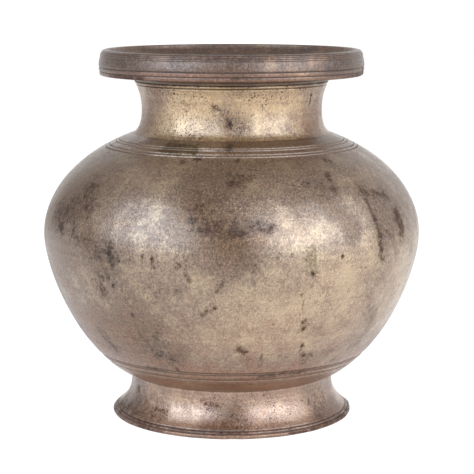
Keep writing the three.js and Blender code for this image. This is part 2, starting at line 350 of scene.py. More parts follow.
    # Grit 0.9 mm across, strongest in the film, and streaks of the lathe from 2.4 mm down to 0.15 mm
    grit = {"Vector": coords, "Scale": 1 / (0.9 * MM), "Detail": 1, "Roughness": 0.9}
    grit = add(tree, "TexNoise", grit).outputs[0]
    grit = add(tree, "MapRange", {0: grit, 1: 0.3, 2: 0.7, 3: 0.6, 4: 1.4}).outputs[0]
    grittiness = add(tree, "MapRange", {0: film, 3: 0.32, 4: 0.9}).outputs[0]
    grit = add(tree, "Mix", {0: grittiness, 2: 1.0, 3: grit}).outputs[0]
    streak = {"Vector": round_the_lathe, "Scale": 1 / (2.4 * MM), "Detail": 4, "Roughness": 0.7}
    streak = add(tree, "TexNoise", streak).outputs[0]
    streak = add(tree, "MapRange", {0: streak, 1: 0.35, 2: 0.65, 3: 0.88, 4: 1.12}).outputs[0]
    grit = add(tree, "Math", {0: grit, 1: streak}, operation="MULTIPLY").outputs[0]
    colour = add(tree, "HueSaturation", {"Value": grit, "Color": colour}).outputs[0]

    # Specks and pits under 1 mm, dark inside, closer together in some clouds and where a mark says so
    speck = add(tree, "TexNoise", {"Vector": coords, "Scale": 1 / (0.75 * MM), "Detail": 2}).outputs[0]
    speck = add(tree, "MapRange", {0: speck, 1: 0.58, 2: 0.66}).outputs[0]
    where = add(tree, "MapRange", {0: cloud, 1: 0.45, 2: 0.62, 3: pitting, 4: 8 * pitting}).outputs[0]
    pitted = add(tree, "Attribute", attribute_name="pitted").outputs["Fac"]
    where = add(tree, "Math", {0: where, 1: pitted}, operation="ADD").outputs[0]
    speck = add(tree, "Math", {0: speck, 1: where}, operation="MULTIPLY").outputs[0]
    colour = add(tree, "Mix", {0: speck, 6: colour, 7: linear("#3f3029")}, data_type="RGBA").outputs[2]

    # Edges rubbed pale, turned lines filled with red-brown grime, and the dull inside, whose dark colour
    # also
    #     # paints shade down the funnel and on the spelter beads
    wear = add(tree, "Attribute", attribute_name="wear").outputs["Fac"]
    worn = add(tree, "MapRange", {0: grain, 1: 0.35, 2: 0.65, 3: 0.1, 4: 0.6}).outputs[0]
    worn = add(tree, "Math", {0: wear, 1: worn}, operation="MULTIPLY").outputs[0]
    tint = {0: worn, 6: colour, 7: linear("#bcb4ae")}
    colour = add(tree, "Mix", tint, data_type="RGBA", blend_type="DODGE").outputs[2]
    groove = add(tree, "Attribute", attribute_name="groove").outputs["Fac"]
    grime = add(tree, "MapRange", {0: groove, 1: 0.2, 2: 0.9, 4: 0.85}).outputs[0]
    colour = add(tree, "Mix", {0: grime, 6: colour, 7: linear("#46332a")}, data_type="RGBA").outputs[2]
    dark = add(tree, "Attribute", attribute_name="dark").outputs["Fac"]
    colour = add(tree, "Mix", {0: dark, 6: colour, 7: linear("#4a3b33")}, data_type="RGBA").outputs[2]

    # The film and the grime are rougher than the metal, let less of it through, and take the clear skin's
    # place. The grit shades the skin as it does the metal, so both keep one hue under the lamps
    dulled = add(tree, "Math", {0: film, 1: grime}, operation="MAXIMUM").outputs[0]
    dulled = add(tree, "Math", {0: dulled, 1: dark}, operation="MAXIMUM").outputs[0]
    rough = add(tree, "MapRange", {0: dulled, 3: polish, 4: 0.4}).outputs[0]
    uneven = add(tree, "MapRange", {0: tone, 3: -0.05, 4: 0.05}).outputs[0]
    rough = add(tree, "Math", {0: rough, 1: uneven}, operation="ADD").outputs[0]
    rough = add(tree, "Math", {0: stain_and_shade, 1: 0.22, 2: rough}, operation="MULTIPLY_ADD").outputs[0]
    bare = add(tree, "MapRange", {0: dulled, 3: 0.7, 4: 0.35}).outputs[0]
    lost = add(tree, "Math", {0: film_and_shade_marks, 1: 0.7, 2: 0.2}, operation="MULTIPLY_ADD").outputs[0]
    lost = add(tree, "Math", {0: lost, 1: film}, operation="MULTIPLY").outputs[0]
    for dirt in (grime, stain_and_shade, speck):
        lost = add(tree, "Math", {0: lost, 1: dirt}, operation="MAXIMUM").outputs[0]
    metal = add(tree, "Math", {0: lost, 1: 0.3, 2: bare}, operation="MULTIPLY_ADD").outputs[0]
    skin = add(tree, "MapRange", {0: lost, 3: gloss, 4: 0.0}).outputs[0]
    skin = add(tree, "Math", {0: skin, 1: grit}, operation="MULTIPLY").outputs[0]

    # Relief, each form with its rise in mm: marks of the tool 0.6 mm apart, uneven metal 4 mm across, the
    # grain, the grit, the hair lines and the pits
    tool = {"Vector": round_the_lathe, "Scale": 1 / (0.6 * MM), "Detail": 2}
    tool = add(tree, "TexNoise", tool).outputs[0]
    swell = add(tree, "TexNoise", {"Vector": coords, "Scale": 1 / (4 * MM), "Detail": 2}).outputs[0]
    relief = add(tree, "Math", {0: tool, 1: 0.008}, operation="MULTIPLY").outputs[0]
    for form, rise in ((swell, 0.06), (grain, 0.068), (grit, 0.042), (line, 0.05), (speck, -pitting)):
        relief = add(tree, "Math", {0: form, 1: rise, 2: relief}, operation="MULTIPLY_ADD").outputs[0]
    bump = add(tree, "Bump", {"Height": relief, "Distance": MM}).outputs[0]

    # A clear skin of copper and tin oxides, with an IOR of 2, lays white highlights over the metal's own
    # tinted ones
    sockets = {
        "Base Color": colour,
        "Roughness": rough,
        "Metallic": metal,
        "Normal": bump,
        "Coat Weight": skin,
        "Coat Roughness": 0.25,
        "Coat IOR": 2.0,
        "Coat Normal": bump,
    }
    surface = add(tree, "BsdfPrincipled", sockets)
    add(tree, "OutputMaterial", {0: surface.outputs[0]})
    return material


# Marks: kind, azimuth and height of both ends, half width and strength. Dents: the same with no kind
foot_marks = (
    ("film", -84, 15, -60, 16, 4.0, 0.3),
    ("film", 45, 15, 80, 15, 4.0, 0.2),
    ("film", -82, 8, -62, 9, 6.0, 0.35),
    ("film", -10, 3, 3, 9, 5.0, 0.6),
    ("film", 50, 4, 75, 6, 5.0, 0.3),
    ("film", -180, 0.8, 180, 0.8, 1.3, 0.45),
    ("clean", -32, 14, -16, 13, 5.0, 0.2),
    ("clean", 12, 12, 36, 12, 6.0, 0.22),
    ("rosy", -10, 4, 3, 10, 5.0, 0.45),
    ("rosy", -180, 2.8, 180, 2.8, 1.4, 0.5),
    ("purple", -15.5, 14.4, -14, 13.6, 1.6, 0.9),
    ("purple", -10, 13, -8, 12.6, 2.4, 0.9),
    ("purple", -66, 12, -50, 6, 6.0, 0.62),
    ("purple", 50, 3, 60, 12, 5.0, 0.5),
    ("purple", -10, 4, 2, 9, 4.0, 0.55),
    ("purple", -84, 4, -38, 7, 4.5, 0.75),
    ("purple", -58, 5, -50, 7, 4.0, 0.6),
    ("purple", -180, 2.7, 8, 2.7, 1.1, 0.8),
    ("purple", 8, 2.7, 180, 2.7, 1.1, 0.55),
    ("purple", 28, 1, 70, 1.4, 1.2, 1.0),
    ("purple", -110, 1.2, -34, 1.0, 1.6, 0.8),
    ("purple", 38, 1.0, 110, 1.2, 1.6, 0.85),
    ("purple", -20, 1.0, -2, 1.0, 1.0, 0.5),
    ("spot", 5.2, 14.5, 5.4, 14.5, 0.72, 0.9),
    ("spot", 47.2, 10, 47.8, 10, 0.9, 0.9),
    ("spot", 0, 9.2, 1.2, 9.2, 0.75, 0.6),
    ("spot", 2.8, 4.3, 3, 4.3, 0.72, 0.9),
    ("spot", -5, 2.6, -4.6, 2.6, 0.81, 1.1),
    ("bright", -40, 1.0, 30, 1.0, 0.8, 0.25),
    ("pitted", -15, 12, -5, 11.4, 2.2, 0.8),
    ("pitted", 41, 12, 48, 12, 1.4, 0.9),
    ("pitted", 22, 11.5, 31, 10.6, 1.4, 0.8),
)
foot_dents = (
    (-1, 0.8, 2, 0.8, 1.2, 0.5),
    (5.2, 14.5, 5.2, 14.5, 0.7, 0.25),
    (0.2, 9.2, 0.8, 9.2, 0.7, 0.15),
    (2.8, 4.3, 2.8, 4.3, 0.7, 0.3),
)
foot_edge_curve = bend((foot_rest_outer, 0), (foot_edge_radius, 0.1), (foot_edge_radius, 0.9), foot_band_low)
foot_flare_curve = bend(
    foot_band_high,
    (foot_waist_radius, foot_bend_height),
    (foot_waist_radius, foot_waist_height),
)
foot_inside_curve = bend(
    (foot_boss_radius, foot_boss_height),
    (foot_boss_radius, foot_bend_height),
    (foot_rest_inner, 0),
)
# Coppery bronze: a pink-brown metal with soft, broad highlights
coppery_bronze = aged_bronze(
    "coppery_bronze",
    bright="#ab886a",
    dull="#92705a",
    patina="#644433",
    polish=0.43,
    cover=(0, 0.5, 22, 0.5),
    pitting=0.07,
    gloss=0.7,
)
# The band holds grime, as much as still lets its corners wear
band_grime = (0.29, 0.29)
turn(
    "foot_ring",
    [
        stretch([(foot_rest_inner, 0), (foot_rest_outer, 0)], dark=(0.4, 0.2)),
        stretch(foot_edge_curve, pitch=0.3),
        stretch(
            [foot_band_low, foot_band_high],
            lines=[foot_band_length - line for line in foot_line_distances],
            pitch=0.3,
            dark=band_grime,
        ),
        stretch(foot_flare_curve),
        stretch([(foot_waist_radius, foot_waist_height), (foot_top_radius, foot_height)]),
        *covered(
            (foot_top_radius, foot_height),
            (foot_boss_radius, foot_height),
            (foot_boss_radius, foot_boss_height),
        ),
        stretch(foot_inside_curve, dark=(1, 0.6)),
    ],
    coppery_bronze,
    foot_marks,
    foot_dents,
)


# Foot braze
# A thin ring of brazing spelter in the corner under the bowl, inside the foot ring, where the two castings
# were joined. It is a dull yellow brass that ran in hot and was never turned.

bead_leg = 2.0
foot_joint_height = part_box("foot_braze")[1].z / MM


def bead(node, toe, heel, corner, brass):
    """A ring of spelter with a hollow face from toe to heel, and its back in the corner of two castings."""
    middle = [(4 * c + t + h) / 6 for c, t, h in zip(corner, toe, heel)]
    turn(
        node,
        [
            # The spelter's face is painted 0.6 dark all over, as shade in the corner it fills
            stretch(bend(toe, middle, heel), pitch=0.3, dark=(0.6, 0.6)),
            *covered(heel, corner, toe),
        ],
        brass,
    )


# Spelter: yellower than the bronze, with a cast skin and no polish
brazing_spelter = aged_bronze(
    "brazing_spelter",
    bright="#9c8058",
    dull="#765a40",
    patina="#4c382c",
    polish=0.42,
    cover=(0, 0.5, 100, 0.5),
    pitting=0.05,
    gloss=0.3,
)
bead(
    "foot_braze",
    (foot_boss_radius - bead_leg, foot_joint_height),
    (foot_boss_radius, foot_joint_height - bead_leg),
    (foot_boss_radius, foot_joint_height),
    brazing_spelter,
)


# Bowl
# The lower half of the body, cast bronze with a wall of 2.4 mm, turned outside and left rough inside.
# Its bottom sags into the foot ring, and a tongue round its mouth laps inside the shoulder.

belly_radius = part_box("lower_body")[1].x / MM
belly_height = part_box("upper_body")[0].z / MM
lap_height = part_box("lower_body")[1].z / MM
bottom_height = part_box("lower_body")[0].z / MM
body_wall = 2.4
lap_radius = belly_radius - body_wall / 2
body_inner_radius = belly_radius - body_wall
bowl_slope = math.radians(22.3)
bowl_run = 24.3
bowl_drop = 17.7
bowl_line_distances = (14.8, 18.5, 19.9)
bottom_bend = foot_top_radius - (foot_height - bottom_height) / math.tan(bowl_slope)

bowl_curve = bend(
    (foot_top_radius, foot_height),
    (foot_top_radius + bowl_run * math.cos(bowl_slope), foot_height + bowl_run * math.sin(bowl_slope)),
    (belly_radius, belly_height - bowl_drop),
    (belly_radius, belly_height),
)
bottom_curve = bend((0, bottom_height), (bottom_bend, bottom_height), (foot_top_radius, foot_height))


def inside(curve, wall):
    """The inner side of a wall that follows an outer curve, from its end back to its start."""
    way = np.gradient(curve, axis=0)
    way /= np.hypot(*way.T)[:, None]
    return (curve + np.stack([-way[:, 1], way[:, 0]], axis=1) * wall)[::-1]


# The bottom's inner side ends on the axis, and its outer side is open as far as the foot's braze
bottom_inside = inside(bottom_curve, body_wall)
bottom_inside[-1, 0] = 0
bottom_shown = bottom_curve[bottom_curve[:, 0] < foot_boss_radius - bead_leg]
bottom_shown = np.vstack([bottom_shown, [foot_boss_radius - bead_leg, foot_joint_height]])

# One set of marks for both halves of the body, so that they run on across the widest line
# The film, purple and spot marks within eleven degrees of the front, from 91 to 107 mm, are partly a real
# stain and partly painted shade: the dark reflection between the two lamps' highlights
body_marks = (
    ("film", 0, 128, 70, 128, 4.0, 0.4),
    ("film", 30, 106, 37, 94, 6.0, 0.6),
    ("film", 20, 105, 30, 104, 5.0, 0.35),
    ("film", -76, 92, -58, 104, 12.0, 0.85),
    ("film", -9, 104, 0, 91, 11.0, 1.1),
    ("film", 52, 88, 74, 104, 12.0, 0.18),
    ("film", -44, 103, -38, 101, 6.0, 0.16),
    ("film", 48, 92, 52, 44, 9.0, 0.22),
    ("film", -47, 88, -38, 79, 7.0, 0.45),
    ("film", -36, 88, -30, 85, 6.0, 0.15),
    ("film", -78, 46, -60, 84, 14.0, 0.3),
    ("film", -84, 34, -76, 66, 14.0, 0.4),
    ("film", -70, 40, -34, 46, 18.0, 0.45),
    ("film", -44, 31, -18, 40, 8.0, 0.4),
    ("film", -180, 32, 180, 32, 9.0, 0.18),
    ("film", -180, 22, 180, 22, 6.0, 0.2),
    ("clean", -24, 122, -14, 118, 6.0, 0.2),
    ("clean", -20, 110, -12, 114, 6.0, 0.2),
    ("clean", 17, 101, 25, 101, 6.0, 0.25),
    ("clean", 14, 92, 40, 98, 8.0, 0.2),
    ("clean", -2, 84, 6, 78, 8.0, 0.08),
    ("clean", 18, 60, 42, 80, 13.0, 0.4),
    ("clean", 14, 60, 60, 64, 26.0, 0.3),
    ("clean", 8, 47, 40, 52, 12.0, 0.1),
    ("clean", -6, 44, 40, 50, 18.0, 0.12),
    ("rosy", -68, 72, -58, 44, 9.0, 0.25),
    ("rosy", -60, 46, 40, 44, 12.0, 0.32),
    ("rosy", -180, 31, 180, 31, 9.0, 0.65),
    ("rosy", -180, 22, 180, 22, 5.0, 0.75),
    ("purple", 0, 114, 6, 115, 3.6, 0.8),
    ("purple", 36.5, 115, 35.5, 109, 2.2, 0.75),
    ("purple", 24, 112, 31, 111, 3.0, 0.5),
    ("purple", -54, 108, -48, 100, 6.0, 0.75),
    ("purple", 46, 108, 58, 104, 3.0, 0.8),
    ("purple", -10, 105, -2, 107, 4.0, 0.5),
    ("purple", 46.6, 104, 47.2, 96, 1.5, 0.8),
    ("purple", -10, 102, 2, 96, 8.0, 0.65),
    ("purple", -66, 95, -57, 99, 8.0, 0.75),
    ("purple", 0, 98, 11, 96.5, 2.8, 0.8),
    ("purple", -8, 96, 2, 94.5, 5.0, 0.75),
    ("purple", 47.2, 96, 48.4, 88, 1.7, 1.0),
    ("purple", 60, 96, 60.5, 89, 4.2, 1.0),
    ("purple", -62, 91, -60, 90, 4.0, 0.9),
    ("purple", 51.5, 91, 53, 88, 1.5, 0.9),
    ("purple", -52, 90, -51, 87, 3.5, 0.7),
    ("purple", 1, 88, 9, 76, 3.0, 0.5),
    ("purple", 47.6, 88, 49, 79, 2.1, 0.95),
    ("purple", -46, 87, -40, 82, 6.5, 0.62),
    ("purple", -13, 86, -11.5, 72, 1.6, 0.6),
    ("purple", -39, 84, -34, 82, 4.5, 0.65),
    ("purple", -41, 75, -41, 65, 3.4, 0.65),
    ("purple", 20.8, 68, 22.2, 59, 0.8, 0.8),
    ("purple", -25, 49, -25, 43, 5.0, 0.45),
    ("purple", 2.4, 43.6, 4.6, 42.6, 2.2, 1.0),
    ("purple", 25.5, 40, 27.5, 37, 2.6, 0.7),
    ("purple", -80, 32, -76, 38, 12.0, 0.6),
    ("purple", 72, 26, 78, 34, 9.0, 0.6),
    ("purple", -36, 31, -24, 31, 1.5, 0.6),
    ("purple", 10, 29, 32, 30, 2.0, 0.7),
    ("green", -1, 125.8, -1, 125.6, 1.8, 1.1),
    ("green", -33, 125.0, -17, 124.8, 2.4, 1.2),
    ("green", -37, 87, -35.5, 80, 3.4, 0.95),
    ("green", 23, 86, 23.2, 80, 4.0, 0.62),
    ("green", -38.6, 77, -38, 73, 1.8, 0.8),
    ("green", -50, 46, -48, 38, 5.0, 0.6),
    ("green", -31, 45, -22, 37, 7.0, 0.6),
    ("spot", -15.4, 121.6, -13, 121.6, 1.1, 0.81),
    ("spot", 2, 121.4, 3, 121.3, 0.9, 0.81),
    ("spot", -21, 120.4, -19.6, 120.2, 1.4, 0.72),
    ("spot", 41, 120, 44, 119.8, 1.3, 0.72),
    ("spot", 26, 111.6, 28, 111, 1.4, 0.63),
    ("spot", 30.6, 107.4, 33.6, 106, 1.6, 0.6),
    ("spot", -7, 101, -3, 91, 5.0, 0.34),
    ("spot", 10.6, 97.6, 11.6, 97.2, 1.2, 0.81),
    ("spot", -11, 96.5, 3, 95.5, 4.5, 0.36),
    ("spot", 13.8, 87, 13.6, 86, 1.2, 0.9),
    ("spot", 47.8, 87, 49, 80, 1.3, 0.5),
    ("spot", 17, 85.2, 17.2, 85, 0.9, 0.72),
    ("spot", 12.8, 84.6, 12.6, 83.4, 1.1, 0.72),
    ("spot", -25.4, 84.5, -25.2, 80.5, 0.99, 0.81),
    ("spot", -22.6, 83.6, -22, 79.6, 1.1, 0.9),
    ("spot", -3.7, 83.6, -3.2, 82, 1.1, 0.9),
    ("spot", 32.8, 82.9, 32.9, 82.6, 1.1, 1.3),
    ("spot", -29.2, 82.6, -29, 81.8, 1.1, 0.72),
    ("spot", -14.7, 82.4, -14.4, 80.6, 1.1, 0.81),
    ("spot", 48.8, 81, 49.2, 79.4, 1.4, 0.65),
    ("spot", 34.8, 80.6, 35, 80.4, 0.72, 0.72),
    ("spot", -35, 80.5, -34, 79.5, 1.6, 0.55),
    ("spot", 23.8, 76.8, 23.6, 76, 1.9, 0.75),
    ("spot", -2.1, 74.6, -3, 72.4, 1.2, 0.85),
    ("spot", -16, 72.6, -15.8, 72.2, 0.81, 0.72),
    ("spot", -23.8, 72, -23.6, 71.6, 0.81, 0.81),
    ("spot", -20.4, 72, -20.2, 68, 0.72, 0.72),
    ("spot", -45.5, 71, -45.2, 70.8, 0.81, 0.81),
    ("spot", -3.6, 71, -4.4, 69.6, 1.1, 0.75),
    ("spot", -37.2, 70.6, -36.6, 69.8, 1.5, 0.85),
    ("spot", 37, 67.8, 37, 67.4, 0.99, 0.63),
    ("spot", -4.4, 63.2, -5.6, 62, 1.3, 0.7),
    ("spot", -7, 61.6, -8.6, 59, 1.8, 0.75),
    ("spot", -31.8, 57.4, -31.6, 56.8, 1.5, 0.81),
    ("spot", 22.8, 55.6, 23.2, 52.2, 1.8, 0.75),
    ("spot", 13.4, 55.4, 13.6, 55.2, 0.81, 0.72),
    ("spot", -52, 45, -51, 43, 2.2, 0.45),
    ("spot", 24.3, 45, 24.6, 42, 1.2, 0.81),
    ("spot", 13.6, 41.6, 13.8, 40.4, 0.9, 0.72),
    ("spot", 10.4, 41, 11, 36, 0.9, 0.72),
    ("spot", 28, 39.6, 29.4, 38.6, 1.1, 0.81),
    ("spot", 42.4, 33.4, 43, 33, 1.4, 0.63),
    ("spot", -20.9, 32.6, -20.7, 32.2, 1.4, 0.99),
    ("bright", 44.4, 111, 45.4, 109, 1.5, 0.8),
    ("bright", 5.6, 103, 6.4, 101, 1.0, 0.7),
    ("bright", 46.2, 100, 46.8, 92, 0.7, 0.8),
    ("bright", 49.8, 100, 50.2, 92, 0.8, 0.7),
    ("bright", 12, 98, 20, 95, 4.0, 0.45),
    ("bright", -36, 96, -30, 95, 3.0, 0.6),
    ("bright", -9, 94, -7, 92, 3.0, 0.5),
    ("bright", 8, 93, 9.6, 91, 2.6, 0.9),
    ("bright", 40.4, 92, 41.2, 90, 1.8, 0.7),
)


def chance_marks(seed, low, high, count):
    """Marks for the back, which the photo doesn't show: about as large and as dark as those in front."""
    chance = np.random.default_rng(seed)
    back_from, back_to = 84, 276
    kinds = ("film", "clean", "purple", "purple", "green", "spot", "spot", "spot", "bright")
    half_widths = {"film": 9.0, "clean": 9.0, "spot": 1.1}
    strengths = {"film": 0.35, "clean": 0.25}
    other_half_width, other_strength = 2.4, 0.9
    marks = []
    for _ in range(count):
        kind = kinds[chance.integers(len(kinds))]
        azimuth = chance.uniform(back_from, back_to)
        height = chance.uniform(low, high)
        half_width = half_widths.get(kind, other_half_width) * chance.uniform(0.7, 1.5)
        strength = strengths.get(kind, other_strength) * chance.uniform(0.55, 1.15)
        run, drop = chance.normal(0, half_width, 2) * (0.5, 1.3)
        marks.append((kind, azimuth, height, azimuth + run, height - drop, half_width, strength))
    return tuple(marks)


body_marks += chance_marks(seed=4, low=28, high=120, count=80)
# Tan bronze: satin and mottled, with a film that is browner on the shoulder and thins out on the bowl
tan_bronze = aged_bronze(
    "tan_bronze",
    bright="#b59a79",
    dull="#977c63",
    patina="#4f3524",
    polish=0.34,
    cover=(70, 0.6, 116, 0.72),
    pitting=0.06,
    gloss=0.6,
)
turn(
    "lower_body",
    [
        stretch(bottom_shown, dark=(0.6, 0.8), pitch=2),
        *covered(
            bottom_shown[-1],
            (foot_boss_radius, foot_joint_height),
            (foot_boss_radius, foot_height),
            (foot_top_radius, foot_height),
        ),
        stretch(bowl_curve, lines=bowl_line_distances, width=0.5, depth=0.42),
        *covered(
            (belly_radius, belly_height),
            (lap_radius, belly_height),
            (lap_radius, lap_height),
            (body_inner_radius, lap_height),
            (body_inner_radius, belly_height),
        ),
        stretch(inside(bowl_curve, body_wall), dark=(1, 1), pitch=3),
        stretch(bottom_inside, dark=(1, 1), pitch=3),
    ],
    tan_bronze,
    body_marks,
)


# Belly braze
# A bead of spelter that ran along the lap joint inside the widest line, and sealed it. Outside, the joint
# was turned flush and doesn't show.

belly_bead = 1.2
bead(
    "belly_braze",
    (body_inner_radius - belly_bead, lap_height),
    (body_inner_radius, lap_height - belly_bead),
    (body_inner_radius, lap_height + belly_bead),
    brazing_spelter,
)


# Shoulder
# The upper half of the body, cast in the same bronze and turned with four lines under the neck. It has
# darkened more than the bowl, because the film was left on it in the polishing.

neck_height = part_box("upper_body")[1].z / MM
shoulder_slope = math.radians(19.8)
shoulder_run = 27.8
shoulder_rise = 18.3
neck_spigot_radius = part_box("neck_braze")[1].x / MM - bead_leg
neck_foot_step = 3.9
neck_base_radius = neck_spigot_radius + neck_foot_step
shoulder_line_distances = (6.9, 8.6, 11.8, 13.8)

shoulder_curve = bend(
    (belly_radius, belly_height),
    (belly_radius, belly_height + shoulder_rise),
    (
        neck_base_radius + shoulder_run * math.cos(shoulder_slope),
        neck_height - shoulder_run * math.sin(shoulder_slope),
    ),
    (neck_base_radius, neck_height),
)
shoulder_length = np.hypot(*np.diff(shoulder_curve, axis=0).T).sum()
shoulder_lines = [shoulder_length - line for line in shoulder_line_distances]
shoulder_inside = inside(shoulder_curve, body_wall)
mouth_land_height = shoulder_inside[0, 1]
bead_top = lap_height + belly_bead
shoulder_inside = shoulder_inside[shoulder_inside[:, 1] > bead_top + belly_bead]
turn(
    "upper_body",
    [
        stretch(shoulder_curve, lines=shoulder_lines, depth=0.6),
        *covered(
            (neck_base_radius, neck_height),
            (neck_spigot_radius, neck_height),
            (neck_spigot_radius, mouth_land_height),
            shoulder_inside[0],
        ),
        stretch(shoulder_inside, dark=(1, 1), pitch=3),
        *covered(
            shoulder_inside[-1],
            (body_inner_radius, bead_top),
            (body_inner_radius, lap_height),
            (lap_radius, lap_height),
            (lap_radius, belly_height),
            (belly_radius, belly_height),
        ),
    ],
    tan_bronze,
    body_marks,
)


# Neck braze
# The bead of spelter inside the shoulder's mouth, round the neck's spigot. It is only seen by looking
# down into the pot.

bead(
    "neck_braze",
    (neck_spigot_radius, mouth_land_height - bead_leg),
    (neck_spigot_radius + bead_leg, mouth_land_height),
    (neck_spigot_radius, mouth_land_height),
    brazing_spelter,
)


# Neck
# A waisted tube of cast bronze, turned outside. Hands lift the pot here, so it has kept a golden colour,
# and its casting pits show as dark specks.

rim_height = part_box("neck")[1].z / MM
neck_end_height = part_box("neck")[0].z / MM
neck_waist_draw = 3.7
neck_waist_rise = 11.1
neck_top_spread = 3.3
neck_wall = 2.6
neck_cove_pull = 2.3
neck_flare_pull = 5.8
rim_collar_wall = 3.2
rim_bead_leg = 1.3
neck_waist_radius = neck_base_radius - neck_waist_draw
neck_waist_height = neck_height + neck_waist_rise
neck_top_radius = neck_waist_radius + neck_top_spread
neck_top_height = rim_height - rim_bead_leg
neck_bore_radius = neck_waist_radius - neck_wall
rim_spigot_radius = neck_bore_radius + rim_collar_wall
rim_spigot_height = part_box("mouth_rim")[0].z / MM
neck_cove = bend(
    (neck_base_radius, neck_height),
    (neck_waist_radius, neck_height + neck_cove_pull),
    (neck_waist_radius, neck_waist_height),
)
neck_flare = bend(
    (neck_waist_radius, neck_waist_height),
    (neck_waist_radius, neck_top_height - neck_flare_pull),
    (neck_top_radius, neck_top_height),
)
neck_bore = [(neck_bore_radius, rim_spigot_height), (neck_bore_radius, neck_end_height)]
neck_line_distances = (0.7, 2.1)
neck_flare_length = np.hypot(*np.diff(neck_flare, axis=0).T).sum()
neck_marks = (
    ("film", -75, 130, -55, 145, 9.0, 0.4),
    ("film", 55, 130, 75, 142, 9.0, 0.35),
    ("film", -4, 137, 8, 133, 7.0, 0.32),
    ("film", 12, 133, 36, 133, 6.0, 0.14),
    ("clean", -36, 141, -12, 147, 6.0, 0.4),
    ("clean", 12, 143, 36, 147, 6.0, 0.25),
    ("rosy", -75, 130, -55, 147, 8.0, 0.4),
    ("rosy", 52, 132, 75, 147, 8.0, 0.4),
    ("rosy", -6, 130, 2, 146, 4.0, 0.2),
    ("purple", -30, 143, -8, 141, 2.5, 0.4),
    ("purple", -6, 139, 6, 137, 5.0, 0.12),
    ("purple", -1.6, 135.6, -1, 133.6, 2.2, 0.95),
    ("purple", -3, 132, 2, 130, 4.0, 0.3),
    ("purple", -34, 129.2, -14, 129, 1.2, 0.5),
    # This ring of spot all round the top of the neck is a painted shadow under the rim
    ("spot", -180, 151.3, 180, 151.3, 0.7, 1.0),
    ("spot", 57, 146, 57, 142, 0.81, 0.9),
    ("spot", -9.4, 142.4, -7.6, 140.6, 1.9, 0.62),
    ("spot", 13, 139.2, 13.4, 138.4, 1.1, 0.72),
    ("spot", -1.8, 135.8, -0.6, 134.4, 1.5, 0.85),
    ("pitted", -56, 149, -16, 147, 3.0, 0.6),
    ("pitted", 24, 149, 56, 148.6, 1.2, 0.55),
    ("pitted", 2, 148, 30, 145, 3.4, 0.42),
)
# Golden bronze: the yellowest metal on the pot, smooth and rather bright
golden_bronze = aged_bronze(
    "golden_bronze",
    bright="#bb996d",
    dull="#977a57",
    patina="#5e432c",
    polish=0.42,
    cover=(126, 0.52, 134, 0.36),
    pitting=0.11,
    gloss=0.68,
)
turn(
    "neck",
    [
        stretch(neck_cove),
        stretch(neck_flare, lines=[neck_flare_length - line for line in neck_line_distances]),
        *covered(
            (neck_top_radius, neck_top_height),
            (neck_top_radius, rim_height),
            (rim_spigot_radius, rim_height),
            (rim_spigot_radius, rim_spigot_height),
            (neck_bore_radius, rim_spigot_height),
        ),
        stretch(neck_bore, dark=(1, 1), pitch=3),
        *covered(
            (neck_bore_radius, neck_end_height),
            (neck_spigot_radius, neck_end_height),
            (neck_spigot_radius, neck_height),
            (neck_base_radius, neck_height),
        ),
    ],
    golden_bronze,
    neck_marks,
)


# Rim braze
# The bead of spelter in the corner between the neck and the underside of the rim. It shows as a thin
# shaded fillet round the top of the neck, painted dark as the shade under the rim.

bead(
    "rim_braze",
    (neck_top_radius, neck_top_height),
    (neck_top_radius + rim_bead_leg, rim_height),
    (neck_top_radius, rim_height),
    brazing_spelter,
)


# Mouth rim
# A heavy flared rim, a casting of its own whose collar sits in the neck. Its wide face and lip are turned,
# and it is the darkest piece, purple-brown with rubbed edges and painted highlights and reflections, with
# a dull funnel down to the bore that is painted darker downwards as shade.

mouth_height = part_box("mouth_rim")[1].z / MM
rim_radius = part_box("mouth_rim")[1].x / MM
lip_height = 3.2
lip_inset = 2.6
lip_width = 1.2
rim_edge_lift = 0.9
lip_outer = rim_radius - lip_inset
lip_inner = lip_outer - lip_width
rim_edge_height = rim_height + rim_edge_lift
under_edge = (rim_radius - 1.3, rim_edge_height)
face_low = (rim_radius - 0.35, rim_edge_height + 0.8)
face_high = (rim_radius - 0.55, mouth_height - lip_height)
funnel_top = (lip_inner - 0.5, mouth_height - 0.5)
rim_edge_curve = bend(under_edge, (rim_radius - 0.4, rim_edge_height + 0.05), face_low)
rim_face = bend(face_low, (rim_radius + 0.45, (rim_height + mouth_height) / 2), face_high)
lip_bevel = bend(
    face_high,
    (rim_radius - 0.6, mouth_height - 0.9),
    (lip_outer + 0.9, mouth_height - 0.15),
    (lip_outer, mouth_height),
)
lip_inner_curve = bend((lip_inner, mouth_height), (lip_inner - 0.4, mouth_height - 0.1), funnel_top)
funnel = bend(
    funnel_top,
    (lip_inner - 1.7, mouth_height - 5.5),
    (neck_bore_radius, rim_spigot_height + 7.5),
    (neck_bore_radius, rim_spigot_height),
)
rim_line_distances = (1.1, 3.1)
lip_line_distances = (0.4, 1.3, 2.2)
